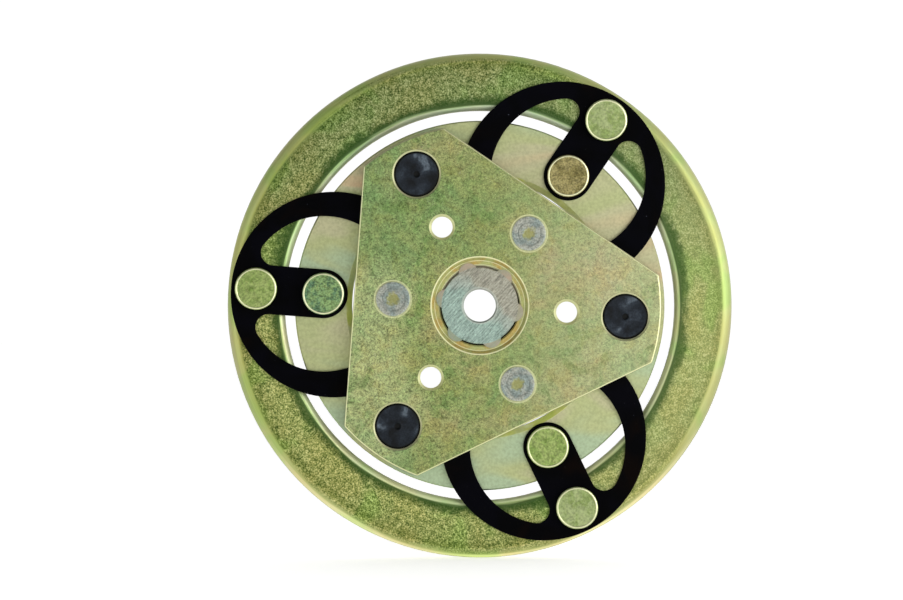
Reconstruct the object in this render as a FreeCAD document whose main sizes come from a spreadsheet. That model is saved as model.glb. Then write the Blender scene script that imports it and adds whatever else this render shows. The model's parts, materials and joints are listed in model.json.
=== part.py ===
import FreeCAD, Part

# Armature and hub assembly of a compressor's electromagnetic clutch, in millimetres.
#
# The parts are drawn in a clutch frame whose Z axis is the shaft's axis: Z = 0 is the friction plane that
# meets the rotor, and +Z runs out of the front. PLACE_FRONT then turns that frame so that the front looks
# along -Y and +Z is up. One spring, its rivets and one rubber stop are drawn on the X axis, and each of the
# three copies gets its own Placement about the shaft.

import os
import re

import Sketcher
from FreeCAD import Placement, Rotation, Vector

COPIES = 3                      # springs, rivet pairs and stops round the shaft
STEP_ANGLE = 360.0 / COPIES     # degrees between them
PARTS_FOLDER = "parts"
TOUCH = 0.01                    # how near an edge lies to the place it is looked for, mm

# Driving dimensions. Circles are given by radius, and levels are above the friction plane.
DIMENSIONS = {
    # how far a cutting outline runs past the faces that it opens
    "Overcut": 1.0,
    # clocking of the first spring about the shaft, degrees from +X towards +Z, seen from the front
    "ClockAngle": 55.7,
    # outer armature ring
    "OuterRingRadius": 60.0,
    "OuterRingBore": 46.4,
    "RingThickness": 5.0,
    "OuterRound": 2.6,
    "BoreRound": 1.6,
    "BackBreak": 0.4,
    # inner armature ring
    "InnerRingRadius": 43.9,
    "InnerRingBore": 30.35,
    "InnerBoreBevel": 1.3,
    "InnerBoreDrop": 0.7,
    "InnerEdgeBreak": 0.3,
    # flat springs
    "LeafThickness": 1.0,
    "LeafLift": 0.8,
    "LoopCentre": 34.8,
    "LoopRadius": 24.4,
    "LoopFlat": 15.2,
    "LoopCorner": 5.0,
    "WindowCentre": 37.15,
    "WindowRadius": 18.45,
    "WindowFlat": 26.4,
    "WindowCorner": 3.0,
    "TongueHalfWidth": 5.8,
    "TongueFillet": 3.1,
    "BendStart": 48.0,
    "BendEnd": 26.0,
    "BarHoleGap": 0.03,
    # rivets through the spring's tongue, one in each ring
    "OuterRivetCircle": 53.2,
    "InnerRivetCircle": 37.2,
    "RivetShank": 3.0,
    "RivetHead": 5.0,
    "RivetHeadHeight": 1.9,
    "RivetHeadBreak": 0.35,
    "RivetTail": 4.3,
    "RivetTailDepth": 1.8,
    "RivetTailSink": 0.4,
    # triangular hub plate
    "PlateRadius": 42.9,
    "PlateFlat": 29.85,
    "PlateThickness": 3.2,
    "PlateCorner": 0.8,
    "PlateEdgeRound": 0.4,
    "StakeRecess": 10.7,
    "StakeRecessDepth": 0.9,
    "StakeRecessBevel": 0.85,
    "PlateHoleChamfer": 0.3,
    # rivets through the hub plate and the spring's bar
    "HubRivetCircle": 20.6,
    "HubRivetShank": 2.7,
    "HubRivetTail": 4.2,
    "HubRivetTailDepth": 1.2,
    "HubRivetHead": 4.9,
    "HubRivetHeadHeight": 1.7,
    "HubRivetTailBreak": 0.15,
    "HubRivetProud": 0.03,
    # puller holes, drilled for an M6 tap
    "PullerCircle": 20.6,
    "PullerHole": 2.5,
    "PullerChamfer": 0.6,
    # rubber stops
    "StopCircle": 34.5,
    "StopRadius": 5.4,
    "StopFlange": 6.9,
    "StopSink": 0.35,
    "StopGap": 0.02,
    "StopEdge": 0.4,
    "StopFlangeEdge": 0.5,
    "StopDimple": 0.7,
    "StopDimpleDepth": 0.45,
    "StopHoleChamfer": 0.45,
    # hub
    "NoseRadius": 9.05,
    "NoseChamfer": 0.15,
    "NoseSink": 0.15,
    "NoseGapDepth": 0.8,
    "PilotRadius": 9.4,
    "FlangeRadius": 13.6,
    "FlangeThickness": 3.0,
    "BossRadius": 11.0,
    "BossDepth": 9.0,
    "BossChamfer": 0.7,
    "BoltHole": 3.8,
    "BoltChamfer": 0.35,
    "SeatLevel": 4.0,
    "ReliefRadius": 7.7,
    "ReliefWidth": 1.5,
    "SplineMinor": 6.8,
    "SplineMajor": 7.5,
    "SplineTeeth": 22,
    "SplineOverlap": 0.15,
    # half widths of a tooth space at its mouth and at its root, as shares of the pitch
    "SplineMouth": 0.3,
    "SplineRoot": 0.2,
    "MouthRadius": 7.8,
    "MouthDepth": 3.0,
    "MouthChamfer": 0.5,
    # six stakes, where the nose's rim is struck outwards over the plate
    "StakeCount": 6,
    "StakeAngle": -6.4,
    "StakeCircle": 8.15,
    "StakeRadius": 2.3,
    "StakeHeight": 0.35,
    "StrikeFlat": 8.55,
    "StrikeHalfWidth": 2.35,
}

doc = FreeCAD.newDocument("ClutchArmature")


def make_sheet():
    """The spreadsheet that every feature's size is bound to."""
    made = doc.addObject("Spreadsheet::Sheet", "dims")
    for row, (alias, number) in enumerate(DIMENSIONS.items(), start=1):
        made.set(f"A{row}", alias)
        made.set(f"B{row}", str(number))
        made.setAlias(f"B{row}", alias)
    doc.recompute()
    return made


sheet = make_sheet()


def value(expression):
    """The number that an expression over the sheet has now."""
    return float(sheet.evalExpression(expression))


def bind(feature, prop, expression):
    """Binds a feature's property to an expression over the sheet's aliases, which start with a capital."""
    feature.setExpression(prop, re.sub(r"\b([A-Z]\w+)\b", r"dims.\1", expression))


# ---------------------------------------------------------------- building blocks


def new_body(label):
    """An empty PartDesign body whose label names its file."""
    body = doc.addObject("PartDesign::Body", label)
    body.Label = label
    return body


def origin_part(body, role):
    """One of the body's origin planes or axes."""
    return next(f for f in body.Origin.OriginFeatures if f.Role == role)


def new_sketch(body, name, role="XY_Plane"):
    """A sketch on one of the body's origin planes."""
    sketch = body.newObject("Sketcher::SketchObject", name)
    sketch.AttachmentSupport = [(origin_part(body, role), "")]
    sketch.MapMode = "FlatFace"
    return sketch


def pin_point(sketch, geometry, point, x, y):
    """Holds a point of the sketch's geometry at two expressions."""
    for kind, expression in (("DistanceX", x), ("DistanceY", y)):
        if expression == "0":
            axis = -2 if kind == "DistanceX" else -1
            add_constraint(sketch, "PointOnObject", geometry, point, axis)
        else:
            index = add_constraint(sketch, kind, -1, 1, geometry, point, value(expression))
            bind(sketch, f"Constraints[{index}]", expression)


def add_constraint(sketch, kind, *arguments):
    """Adds a constraint and returns its index."""
    return sketch.addConstraint(Sketcher.Constraint(kind, *arguments))


def draw_polygon(sketch, corners):
    """A closed outline through corners, each a pair of expressions."""
    places = [Vector(value(x), value(y), 0) for x, y in corners]
    first = sketch.GeometryCount
    for n, start in enumerate(places):
        end = places[(n + 1) % len(places)]
        sketch.addGeometry(Part.LineSegment(start, end), False)
    for n, (x, y) in enumerate(corners):
        following = first + (n + 1) % len(corners)
        add_constraint(sketch, "Coincident", first + n, 2, following, 1)
        pin_point(sketch, first + n, 1, x, y)


def draw_circle(sketch, radius, x="0", y="0"):
    """A circle of an expression's radius about a centre given by two."""
    centre = Vector(value(x), value(y), 0)
    index = sketch.addGeometry(Part.Circle(centre, Vector(0, 0, 1), value(radius)), False)
    held = add_constraint(sketch, "Radius", index, value(radius))
    bind(sketch, f"Constraints[{held}]", radius)
    if x == "0" and y == "0":
        add_constraint(sketch, "Coincident", index, 3, -1, 1)
    else:
        pin_point(sketch, index, 3, x, y)


def revolve(body, name, corners, about="0"):
    """Turns a closed (radius, level) outline about the body's Z axis, or about a line parallel to it."""
    sketch = new_sketch(body, name + "Profile", "XZ_Plane")
    draw_polygon(sketch, corners)
    made = body.newObject("PartDesign::Revolution", name)
    made.Profile = sketch
    made.ReferenceAxis = turning_axis(sketch, about)
    made.Angle = 360.0
    doc.recompute()
    return made


def groove(body, name, corners, about):
    """Turns a closed outline about a line parallel to Z and takes it away."""
    before = body.Shape.Volume
    sketch = new_sketch(body, name + "Profile", "XZ_Plane")
    draw_polygon(sketch, corners)
    made = body.newObject("PartDesign::Groove", name)
    made.Profile = sketch
    made.ReferenceAxis = turning_axis(sketch, about)
    made.Angle = 360.0
    doc.recompute()
    check_cut(name, before, body.Shape.Volume)
    return made


def turning_axis(sketch, about):
    """The sketch's vertical axis, or a construction line drawn parallel to it."""
    if about == "0":
        return (sketch, ["V_Axis"])
    x = value(about)
    long = value("RingThickness")
    line = sketch.addGeometry(Part.LineSegment(Vector(x, 0, 0), Vector(x, long, 0)), True)
    pin_point(sketch, line, 1, about, "0")
    pin_point(sketch, line, 2, about, "RingThickness")
    return (sketch, ["Axis0"])


def pad(body, name, sketch, height, level="0", midplane=False):
    """Pads a sketch by an expression's height, from an expression's level."""
    bind(sketch, "AttachmentOffset.Base.z", level)
    made = body.newObject("PartDesign::Pad", name)
    made.Profile = sketch
    made.SideType = "Symmetric" if midplane else "One side"
    bind(made, "Length", height)
    doc.recompute()
    return made


def pocket(body, name, sketch):
    """Cuts a sketch right through the body, both ways."""
    before = body.Shape.Volume
    made = body.newObject("PartDesign::Pocket", name)
    made.Profile = sketch
    made.SideType = "Symmetric"
    made.Type = "ThroughAll"
    doc.recompute()
    check_cut(name, before, body.Shape.Volume)
    return made


def blind_pocket(body, name, sketch, top, depth):
    """Cuts a sketch from an expression's level down by an expression's depth."""
    before = body.Shape.Volume
    bind(sketch, "AttachmentOffset.Base.z", top)
    made = body.newObject("PartDesign::Pocket", name)
    made.Profile = sketch
    bind(made, "Length", depth)
    doc.recompute()
    check_cut(name, before, body.Shape.Volume)
    return made


def check_cut(name, before, after):
    """Stops if a cut took nothing away."""
    if not after < before - TOUCH:
        raise ValueError(f"{name} cut nothing: {before} to {after}")


def pattern(body, name, features, count):
    """Repeats features about the body's Z axis, and makes the pattern the body's tip."""
    made = body.newObject("PartDesign::PolarPattern", name)
    made.Originals = features
    made.Axis = (origin_part(body, "Z_Axis"), [""])
    made.Angle = 360.0
    bind(made, "Occurrences", count)
    body.Tip = made
    doc.recompute()
    return made


def edges_where(body, test):
    """The names of the body's edges for which test(edge) holds."""
    shape = body.Tip.Shape
    return [f"Edge{n}" for n, edge in enumerate(shape.Edges, start=1) if test(edge)]


def round_edges(body, name, size, test):
    """Fillets the edges that pass the test."""
    base = body.Tip
    names = edges_where(body, test)
    made = body.newObject("PartDesign::Fillet", name)
    made.Base = (base, names)
    bind(made, "Radius", size)
    doc.recompute()
    return made


def break_edges(body, name, size, test):
    """Chamfers the edges that pass the test."""
    base = body.Tip
    names = edges_where(body, test)
    made = body.newObject("PartDesign::Chamfer", name)
    made.Base = (base, names)
    bind(made, "Size", size)
    doc.recompute()
    return made


def circle_at(radius, level, x="0"):
    """A test for a full circle of that radius at that level, about a line at x."""
    r, z, centre = value(radius), value(level), value(x)

    def test(edge):
        curve = edge.Curve
        return (
            curve.TypeId == "Part::GeomCircle"
            and abs(curve.Radius - r) < TOUCH
            and abs(curve.Center.z - z) < TOUCH
            and abs(curve.Center.Length - (centre**2 + z**2) ** 0.5) < TOUCH
        )

    return test


def upright_at(test_point):
    """A test for a straight edge parallel to Z whose place passes test_point(x, y)."""

    def test(edge):
        a, b = edge.Vertexes[0].Point, edge.Vertexes[-1].Point
        upright = abs(a.x - b.x) < TOUCH and abs(a.y - b.y) < TOUCH and abs(a.z - b.z) > TOUCH
        return upright and test_point(a.x, a.y)

    return test


def on_front(level, test_point):
    """A test for an edge that lies at one level and whose middle passes test_point(distance from axis)."""
    z = value(level)

    def test(edge):
        box = edge.BoundBox
        middle = edge.valueAt((edge.FirstParameter + edge.LastParameter) / 2)
        flat = abs(box.ZMin - z) < TOUCH and abs(box.ZMax - z) < TOUCH
        return flat and test_point((middle.x**2 + middle.y**2) ** 0.5)

    return test


PLACE_FRONT = Rotation(Vector(1, 0, 0), 90)


def place(body, turn=0.0):
    """Sets the body about the shaft at an angle from the first spring, with the front along -Y."""
    clock = Rotation(Vector(0, 0, 1), value("ClockAngle") + turn)
    body.Placement = Placement(Vector(0, 0, 0), PLACE_FRONT.multiply(clock))
    return body


# ---------------------------------------------------------------- armature


def countersunk_hole(body, name, circle, shank, tail, depth):
    """A rivet hole that opens into a straight-sided countersink at the friction face."""
    return groove(
        body,
        name,
        [
            (circle, "-Overcut"),
            (f"{circle} + {tail} + ({tail} - {shank}) / {depth} * Overcut", "-Overcut"),
            (f"{circle} + {shank}", depth),
            (f"{circle} + {shank}", "RingThickness + Overcut"),
            (circle, "RingThickness + Overcut"),
        ],
        about=circle,
    )


def make_outer_ring():
    """A flat ring with rounded front edges and three countersunk rivet holes."""
    body = new_body("outer_ring")
    revolve(
        body,
        "OuterRingTurned",
        [
            ("OuterRingBore", "0"),
            ("OuterRingRadius", "0"),
            ("OuterRingRadius", "RingThickness"),
            ("OuterRingBore", "RingThickness"),
        ],
    )
    round_edges(body, "OuterRingRound", "OuterRound", circle_at("OuterRingRadius", "RingThickness"))
    round_edges(body, "OuterRingBoreRound", "BoreRound", circle_at("OuterRingBore", "RingThickness"))
    rims = [circle_at("OuterRingRadius", "0"), circle_at("OuterRingBore", "0")]
    break_edges(body, "OuterRingBack", "BackBreak", lambda e: any(t(e) for t in rims))
    hole = countersunk_hole(
        body, "OuterRivetHole", "OuterRivetCircle", "RivetShank", "RivetTail", "RivetTailDepth"
    )
    pattern(body, "OuterRivetHoles", [hole], str(COPIES))
    return place(body)


def make_inner_ring():
    """A flat ring with a bevelled bore and three countersunk rivet holes."""
    body = new_body("inner_ring")
    revolve(
        body,
        "InnerRingTurned",
        [
            ("InnerRingBore", "0"),
            ("InnerRingRadius", "0"),
            ("InnerRingRadius", "RingThickness"),
            ("InnerRingBore + InnerBoreBevel", "RingThickness"),
            ("InnerRingBore", "RingThickness - InnerBoreDrop"),
        ],
    )
    rims = [
        circle_at("InnerRingRadius", "RingThickness"),
        circle_at("InnerRingRadius", "0"),
        circle_at("InnerRingBore", "0"),
    ]
    break_edges(body, "InnerRingBreaks", "InnerEdgeBreak", lambda e: any(t(e) for t in rims))
    hole = countersunk_hole(
        body, "InnerRivetHole", "InnerRivetCircle", "RivetShank", "RivetTail", "RivetTailDepth"
    )
    pattern(body, "InnerRivetHoles", [hole], str(COPIES))
    return place(body)


def make_armature_rivet(label, circle, turn):
    """A flat-headed rivet on the tongue, whose tail stops short of the friction face in its countersink."""
    body = new_body(label)
    slope = "(RivetTail - RivetShank) / RivetTailDepth"
    top = "RingThickness + LeafThickness"
    revolve(
        body,
        label + "_turned",
        [
            (circle, "RivetTailSink"),
            (f"{circle} + RivetTail - RivetTailSink * {slope}", "RivetTailSink"),
            (f"{circle} + RivetShank", "RivetTailDepth"),
            (f"{circle} + RivetShank", top),
            (f"{circle} + RivetHead", top),
            (f"{circle} + RivetHead", f"{top} + RivetHeadHeight"),
            (circle, f"{top} + RivetHeadHeight"),
        ],
        about=circle,
    )
    head = circle_at("RivetHead", f"{top} + RivetHeadHeight", circle)
    round_edges(body, label + "_rim", "RivetHeadBreak", head)
    return place(body, turn)


# Radius of the spring's two bends, measured to the middle of the sheet, and the sheet's two ends.
BEND_RADIUS = "(((BendStart - BendEnd) ^ 2 + LeafLift ^ 2) / (4 * LeafLift))"
SHEET_FAR_END = "(LoopCentre + LoopRadius + Overcut)"
SHEET_NEAR_END = "(LoopFlat / 2)"


def make_spring(label, turn):
    """A flat spring: a loop with a straight bar at the hub, and a tongue from its far side.

    The loop rises from the rings to the hub plate along two equal arcs, the shape that the spring takes
    when the rubber stops load it, and the tongue lies flat on both rings.
    """
    body = new_body(label)
    add_bent_sheet(body)

    outside = new_sketch(body, label + "_outside")
    draw_circle(outside, "LoopRadius", "LoopCentre")
    draw_polygon(outside, rectangle("-LoopRadius", "LoopCentre + LoopRadius * 2", "LoopRadius * 2"))
    pocket(body, label + "_loop", outside)

    inner_end = new_sketch(body, label + "_inner_end")
    draw_polygon(inner_end, rectangle("-LoopRadius", "LoopFlat", "LoopRadius * 2"))
    pocket(body, label + "_flat", inner_end)

    window = new_sketch(body, label + "_window")
    draw_cut_circle(window, "WindowCentre", "WindowRadius", "WindowFlat")
    pocket(body, label + "_opening", window)

    tongue = new_sketch(body, label + "_tongue")
    draw_tongue(tongue)
    pad(body, label + "_tongue_pad", tongue, "LeafThickness", "RingThickness")

    round_edges(
        body,
        label + "_loop_corners",
        "LoopCorner",
        upright_at(lambda x, y: abs(x - value("LoopFlat")) < TOUCH and abs(y) > value("TongueHalfWidth")),
    )
    round_edges(
        body,
        label + "_window_corners",
        "WindowCorner",
        upright_at(lambda x, y: abs(x - value("WindowFlat")) < TOUCH),
    )
    root = value("WindowCentre + sqrt(WindowRadius ^ 2 - TongueHalfWidth ^ 2)")
    round_edges(
        body, label + "_tongue_roots", "TongueFillet", upright_at(lambda x, y: abs(x - root) < TOUCH)
    )

    holes = new_sketch(body, label + "_rivet_holes")
    draw_circle(holes, "RivetShank", "OuterRivetCircle")
    draw_circle(holes, "RivetShank", "InnerRivetCircle")
    draw_circle(holes, "HubRivetShank + BarHoleGap", "HubRivetCircle")
    pocket(body, label + "_holes", holes)
    return place(body, turn)


def add_bent_sheet(body):
    """The sheet that the loop is cut from, bent up towards the hub plate by two equal arcs."""
    section = new_sketch(body, body.Label + "_section", "XZ_Plane")
    under = draw_bend(section, "RingThickness", "-LeafThickness / 2")
    over = draw_bend(section, "(RingThickness + LeafThickness)", "LeafThickness / 2")
    for x, level, lines in (
        (SHEET_FAR_END, "RingThickness", (under[0], over[0])),
        (SHEET_NEAR_END, "RingThickness + LeafLift", (under[1], over[1])),
    ):
        low = Vector(value(x), value(level), 0)
        high = Vector(value(x), value(f"{level} + LeafThickness"), 0)
        end = section.addGeometry(Part.LineSegment(low, high), False)
        point = 1 if x == SHEET_FAR_END else 2
        add_constraint(section, "Coincident", end, 1, lines[0], point)
        add_constraint(section, "Coincident", end, 2, lines[1], point)
    pad(body, body.Label + "_sheet", section, "LoopRadius * 3", midplane=True)


def draw_bend(sketch, level, offset):
    """One face of the bent sheet: flat at a level, up, down again, and flat by LeafLift higher.

    The offset is the face's distance above the sheet's middle. The indices of the two flats are returned.
    """
    start, end = value("BendStart"), value("BendEnd")
    low, high = value(level), value(f"{level} + LeafLift")
    far, near = value(SHEET_FAR_END), value(SHEET_NEAR_END)
    rise, fall = value(f"{BEND_RADIUS} - ({offset})"), value(f"{BEND_RADIUS} + ({offset})")
    below, above = Vector(end, high - fall, 0), Vector(start, low + rise, 0)
    joint = above + (below - above).normalize() * rise

    flat_low = sketch.addGeometry(Part.LineSegment(Vector(far, low, 0), Vector(start, low, 0)), False)
    first = sketch.addGeometry(arc_between(above, rise, joint, Vector(start, low, 0)), False)
    second = sketch.addGeometry(arc_between(below, fall, joint, Vector(end, high, 0)), False)
    flat_high = sketch.addGeometry(Part.LineSegment(Vector(end, high, 0), Vector(near, high, 0)), False)

    add_constraint(sketch, "Tangent", first, 2, flat_low, 2)
    add_constraint(sketch, "Tangent", first, 1, second, 1)
    add_constraint(sketch, "Tangent", second, 2, flat_high, 1)
    pin_point(sketch, flat_low, 1, SHEET_FAR_END, level)
    pin_point(sketch, flat_low, 2, "BendStart", level)
    pin_point(sketch, flat_high, 1, "BendEnd", f"{level} + LeafLift")
    held = add_constraint(sketch, "DistanceX", -1, 1, flat_high, 2, near)
    bind(sketch, f"Constraints[{held}]", SHEET_NEAR_END)
    add_constraint(sketch, "Horizontal", flat_high)
    held = add_constraint(sketch, "Radius", first, rise)
    bind(sketch, f"Constraints[{held}]", f"{BEND_RADIUS} - ({offset})")
    return flat_low, flat_high


def arc_between(centre, radius, start, end):
    """The short arc about a centre between two points."""
    middle = ((start - centre) + (end - centre)).normalize() * radius + centre
    return Part.Arc(start, middle, end)


def rectangle(left, right, half_height):
    """The corners of a rectangle centred on the X axis, as expressions."""
    return [
        (left, f"-({half_height})"),
        (right, f"-({half_height})"),
        (right, half_height),
        (left, half_height),
    ]


def draw_cut_circle(sketch, centre, radius, flat):
    """A circle on the X axis with its near side cut off straight."""
    c, r, x = value(centre), value(radius), value(flat)
    half = (r**2 - (c - x) ** 2) ** 0.5
    low, high = Vector(x, -half, 0), Vector(x, half, 0)
    arc = sketch.addGeometry(Part.Arc(low, Vector(c + r, 0, 0), high), False)
    line = sketch.addGeometry(Part.LineSegment(high, low), False)
    add_constraint(sketch, "Coincident", arc, 2, line, 1)
    add_constraint(sketch, "Coincident", line, 2, arc, 1)
    held = add_constraint(sketch, "Radius", arc, r)
    bind(sketch, f"Constraints[{held}]", radius)
    pin_point(sketch, arc, 3, centre, "0")
    held = add_constraint(sketch, "DistanceX", -1, 1, line, 1, x)
    bind(sketch, f"Constraints[{held}]", flat)
    add_constraint(sketch, "Vertical", line)


def draw_tongue(sketch):
    """A straight-sided tongue with a round end about the inner rivet."""
    near, half = value("InnerRivetCircle"), value("TongueHalfWidth")
    far = value("WindowCentre + WindowRadius")
    round_end = Part.Arc(Vector(near, half, 0), Vector(near - half, 0, 0), Vector(near, -half, 0))
    arc = sketch.addGeometry(round_end, False)
    low = sketch.addGeometry(Part.LineSegment(Vector(near, -half, 0), Vector(far, -half, 0)), False)
    end = sketch.addGeometry(Part.LineSegment(Vector(far, -half, 0), Vector(far, half, 0)), False)
    high = sketch.addGeometry(Part.LineSegment(Vector(far, half, 0), Vector(near, half, 0)), False)
    add_constraint(sketch, "Tangent", arc, 2, low, 1)
    add_constraint(sketch, "Coincident", low, 2, end, 1)
    add_constraint(sketch, "Coincident", end, 2, high, 1)
    add_constraint(sketch, "Tangent", high, 2, arc, 1)
    add_constraint(sketch, "Horizontal", low)
    add_constraint(sketch, "Horizontal", high)
    add_constraint(sketch, "Vertical", end)
    pin_point(sketch, arc, 3, "InnerRivetCircle", "0")
    held = add_constraint(sketch, "Radius", arc, half)
    bind(sketch, f"Constraints[{held}]", "TongueHalfWidth")
    held = add_constraint(sketch, "DistanceX", -1, 1, low, 2, far)
    bind(sketch, f"Constraints[{held}]", "WindowCentre + WindowRadius")


# ---------------------------------------------------------------- hub side

PLATE_BACK = "(RingThickness + LeafThickness + LeafLift)"
PLATE_FRONT = f"({PLATE_BACK} + PlateThickness)"
RECESS_FLOOR = f"({PLATE_FRONT} - StakeRecessDepth)"
NOSE_FACE = f"({PLATE_FRONT} - NoseSink)"


def make_hub_plate():
    """A disc with three flats cut across it, carrying the stops, the rivets and the puller holes."""
    body = new_body("hub_plate")
    disc = new_sketch(body, "plate_disc")
    draw_circle(disc, "PlateRadius")
    pad(body, "PlateDisc", disc, "PlateThickness", PLATE_BACK)

    beyond = new_sketch(body, "plate_beyond_flat")
    draw_polygon(beyond, rectangle("PlateFlat", "PlateRadius * 2", "PlateRadius"))
    flat = pocket(body, "PlateFlatCut", beyond)
    pattern(body, "PlateFlats", [flat], str(COPIES))

    far = value("PlateRadius") - TOUCH
    corners = upright_at(lambda x, y: (x**2 + y**2) ** 0.5 > far)
    round_edges(body, "PlateCorners", "PlateCorner", corners)
    outside = on_front(PLATE_FRONT, lambda distance: distance > value("PlateFlat") - TOUCH)
    round_edges(body, "PlateEdge", "PlateEdgeRound", outside)

    centre = new_sketch(body, "plate_centre")
    draw_circle(centre, "PilotRadius")
    pocket(body, "PlateCentre", centre)
    recess = new_sketch(body, "plate_recess")
    draw_circle(recess, "StakeRecess")
    blind_pocket(body, "PlateRecess", recess, PLATE_FRONT, "StakeRecessDepth")
    rim = circle_at("StakeRecess", PLATE_FRONT)
    break_edges(body, "PlateRecessRim", "StakeRecessBevel", rim)
    break_edges(body, "PlateHoleEdge", "PlateHoleChamfer", circle_at("PilotRadius", RECESS_FLOOR))

    rivet_hole = groove(
        body,
        "HubRivetHole",
        [
            ("HubRivetCircle", f"{PLATE_BACK} - Overcut"),
            ("HubRivetCircle + HubRivetShank", f"{PLATE_BACK} - Overcut"),
            ("HubRivetCircle + HubRivetShank", f"{PLATE_FRONT} - HubRivetTailDepth"),
            ("HubRivetCircle + HubRivetTail", f"{PLATE_FRONT} - HubRivetTailDepth"),
            ("HubRivetCircle + HubRivetTail", f"{PLATE_FRONT} + Overcut"),
            ("HubRivetCircle", f"{PLATE_FRONT} + Overcut"),
        ],
        about="HubRivetCircle",
    )
    pattern(body, "HubRivetHoles", [rivet_hole], str(COPIES))

    for name, circle, radius, chamfer in (
        ("StopHole", "StopCircle", "StopRadius", "StopHoleChamfer"),
        ("PullerHole", "PullerCircle", "PullerHole", "PullerChamfer"),
    ):
        sketch = new_sketch(body, name + "_circle")
        bind(sketch, "AttachmentOffset.Rotation.Angle", str(STEP_ANGLE / 2))
        draw_circle(sketch, radius, circle)
        hole = pocket(body, name, sketch)
        pattern(body, name + "s", [hole], str(COPIES))
        break_edges(body, name + "Chamfer", chamfer, circle_at(radius, PLATE_FRONT, circle))
    return place(body)


def make_hub():
    """A turned hub: staked nose, flange behind the plate, and a splined boss."""
    body = new_body("hub")
    flange_back = f"({PLATE_BACK} - FlangeThickness)"
    gap_floor = f"({RECESS_FLOOR} - NoseGapDepth)"
    revolve(
        body,
        "HubTurned",
        [
            ("BoltHole + BoltChamfer", NOSE_FACE),
            ("NoseRadius - NoseChamfer", NOSE_FACE),
            ("NoseRadius", f"{NOSE_FACE} - NoseChamfer"),
            ("NoseRadius", gap_floor),
            ("PilotRadius", gap_floor),
            ("PilotRadius", PLATE_BACK),
            ("FlangeRadius - BackBreak", PLATE_BACK),
            ("FlangeRadius", f"{PLATE_BACK} - BackBreak"),
            ("FlangeRadius", f"{flange_back} + BackBreak"),
            ("FlangeRadius - BackBreak", flange_back),
            ("BossRadius", flange_back),
            ("BossRadius", "BossChamfer - BossDepth"),
            ("BossRadius - BossChamfer", "-BossDepth"),
            ("MouthRadius + MouthChamfer", "-BossDepth"),
            ("MouthRadius", "MouthChamfer - BossDepth"),
            ("MouthRadius", "MouthDepth - BossDepth"),
            ("SplineMinor", "MouthDepth - BossDepth"),
            ("SplineMinor", "SeatLevel - ReliefWidth"),
            ("ReliefRadius", "SeatLevel - ReliefWidth"),
            ("ReliefRadius", "SeatLevel"),
            ("BoltHole + BoltChamfer", "SeatLevel"),
            ("BoltHole", "SeatLevel + BoltChamfer"),
            ("BoltHole", f"{NOSE_FACE} - BoltChamfer"),
        ],
    )

    tooth_gap = new_sketch(body, "spline_gap")
    pitch = "(360 deg / SplineTeeth)"
    draw_polygon(
        tooth_gap,
        [
            ("SplineMinor - SplineOverlap", f"-SplineMinor * tan({pitch} * SplineMouth)"),
            ("SplineMajor", f"-SplineMajor * tan({pitch} * SplineRoot)"),
            ("SplineMajor", f"SplineMajor * tan({pitch} * SplineRoot)"),
            ("SplineMinor - SplineOverlap", f"SplineMinor * tan({pitch} * SplineMouth)"),
        ],
    )
    depth = "SeatLevel - ReliefWidth + BossDepth - MouthDepth"
    gap = blind_pocket(body, "SplineGap", tooth_gap, "SeatLevel - ReliefWidth", depth)
    pattern(body, "Spline", [gap], "SplineTeeth")

    strike_floor = f"({RECESS_FLOOR} + StakeHeight)"
    strike = new_sketch(body, "stake_strike")
    bind(strike, "AttachmentOffset.Rotation.Angle", "StakeAngle")
    draw_polygon(strike, rectangle("StrikeFlat", "StakeRecess", "StrikeHalfWidth"))
    struck = blind_pocket(body, "StakeStrike", strike, NOSE_FACE, f"{NOSE_FACE} - {strike_floor}")

    petal = new_sketch(body, "stake_petal")
    bind(petal, "AttachmentOffset.Rotation.Angle", "StakeAngle")
    draw_circle(petal, "StakeRadius", "StakeCircle")
    spread = pad(body, "StakePetal", petal, "StakeHeight", RECESS_FLOOR)
    pattern(body, "Stakes", [struck, spread], "StakeCount")
    return place(body)


def make_hub_rivet(label, turn):
    """A rivet through the spring's bar and the hub plate, set flush in the plate's front."""
    body = new_body(label)
    under_bar = f"({PLATE_BACK} - LeafThickness)"
    tail_top = f"({PLATE_FRONT} + HubRivetProud)"
    revolve(
        body,
        label + "_turned",
        [
            ("HubRivetCircle", f"{under_bar} - HubRivetHeadHeight"),
            ("HubRivetCircle + HubRivetHead - RivetHeadBreak", f"{under_bar} - HubRivetHeadHeight"),
            ("HubRivetCircle + HubRivetHead", f"{under_bar} - HubRivetHeadHeight + RivetHeadBreak"),
            ("HubRivetCircle + HubRivetHead", under_bar),
            ("HubRivetCircle + HubRivetShank", under_bar),
            ("HubRivetCircle + HubRivetShank", f"{PLATE_FRONT} - HubRivetTailDepth"),
            ("HubRivetCircle + HubRivetTail", f"{PLATE_FRONT} - HubRivetTailDepth"),
            ("HubRivetCircle + HubRivetTail", f"{tail_top} - HubRivetTailBreak"),
            ("HubRivetCircle + HubRivetTail - HubRivetTailBreak", tail_top),
            ("HubRivetCircle", tail_top),
        ],
        about="HubRivetCircle",
    )
    return place(body, turn)


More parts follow.
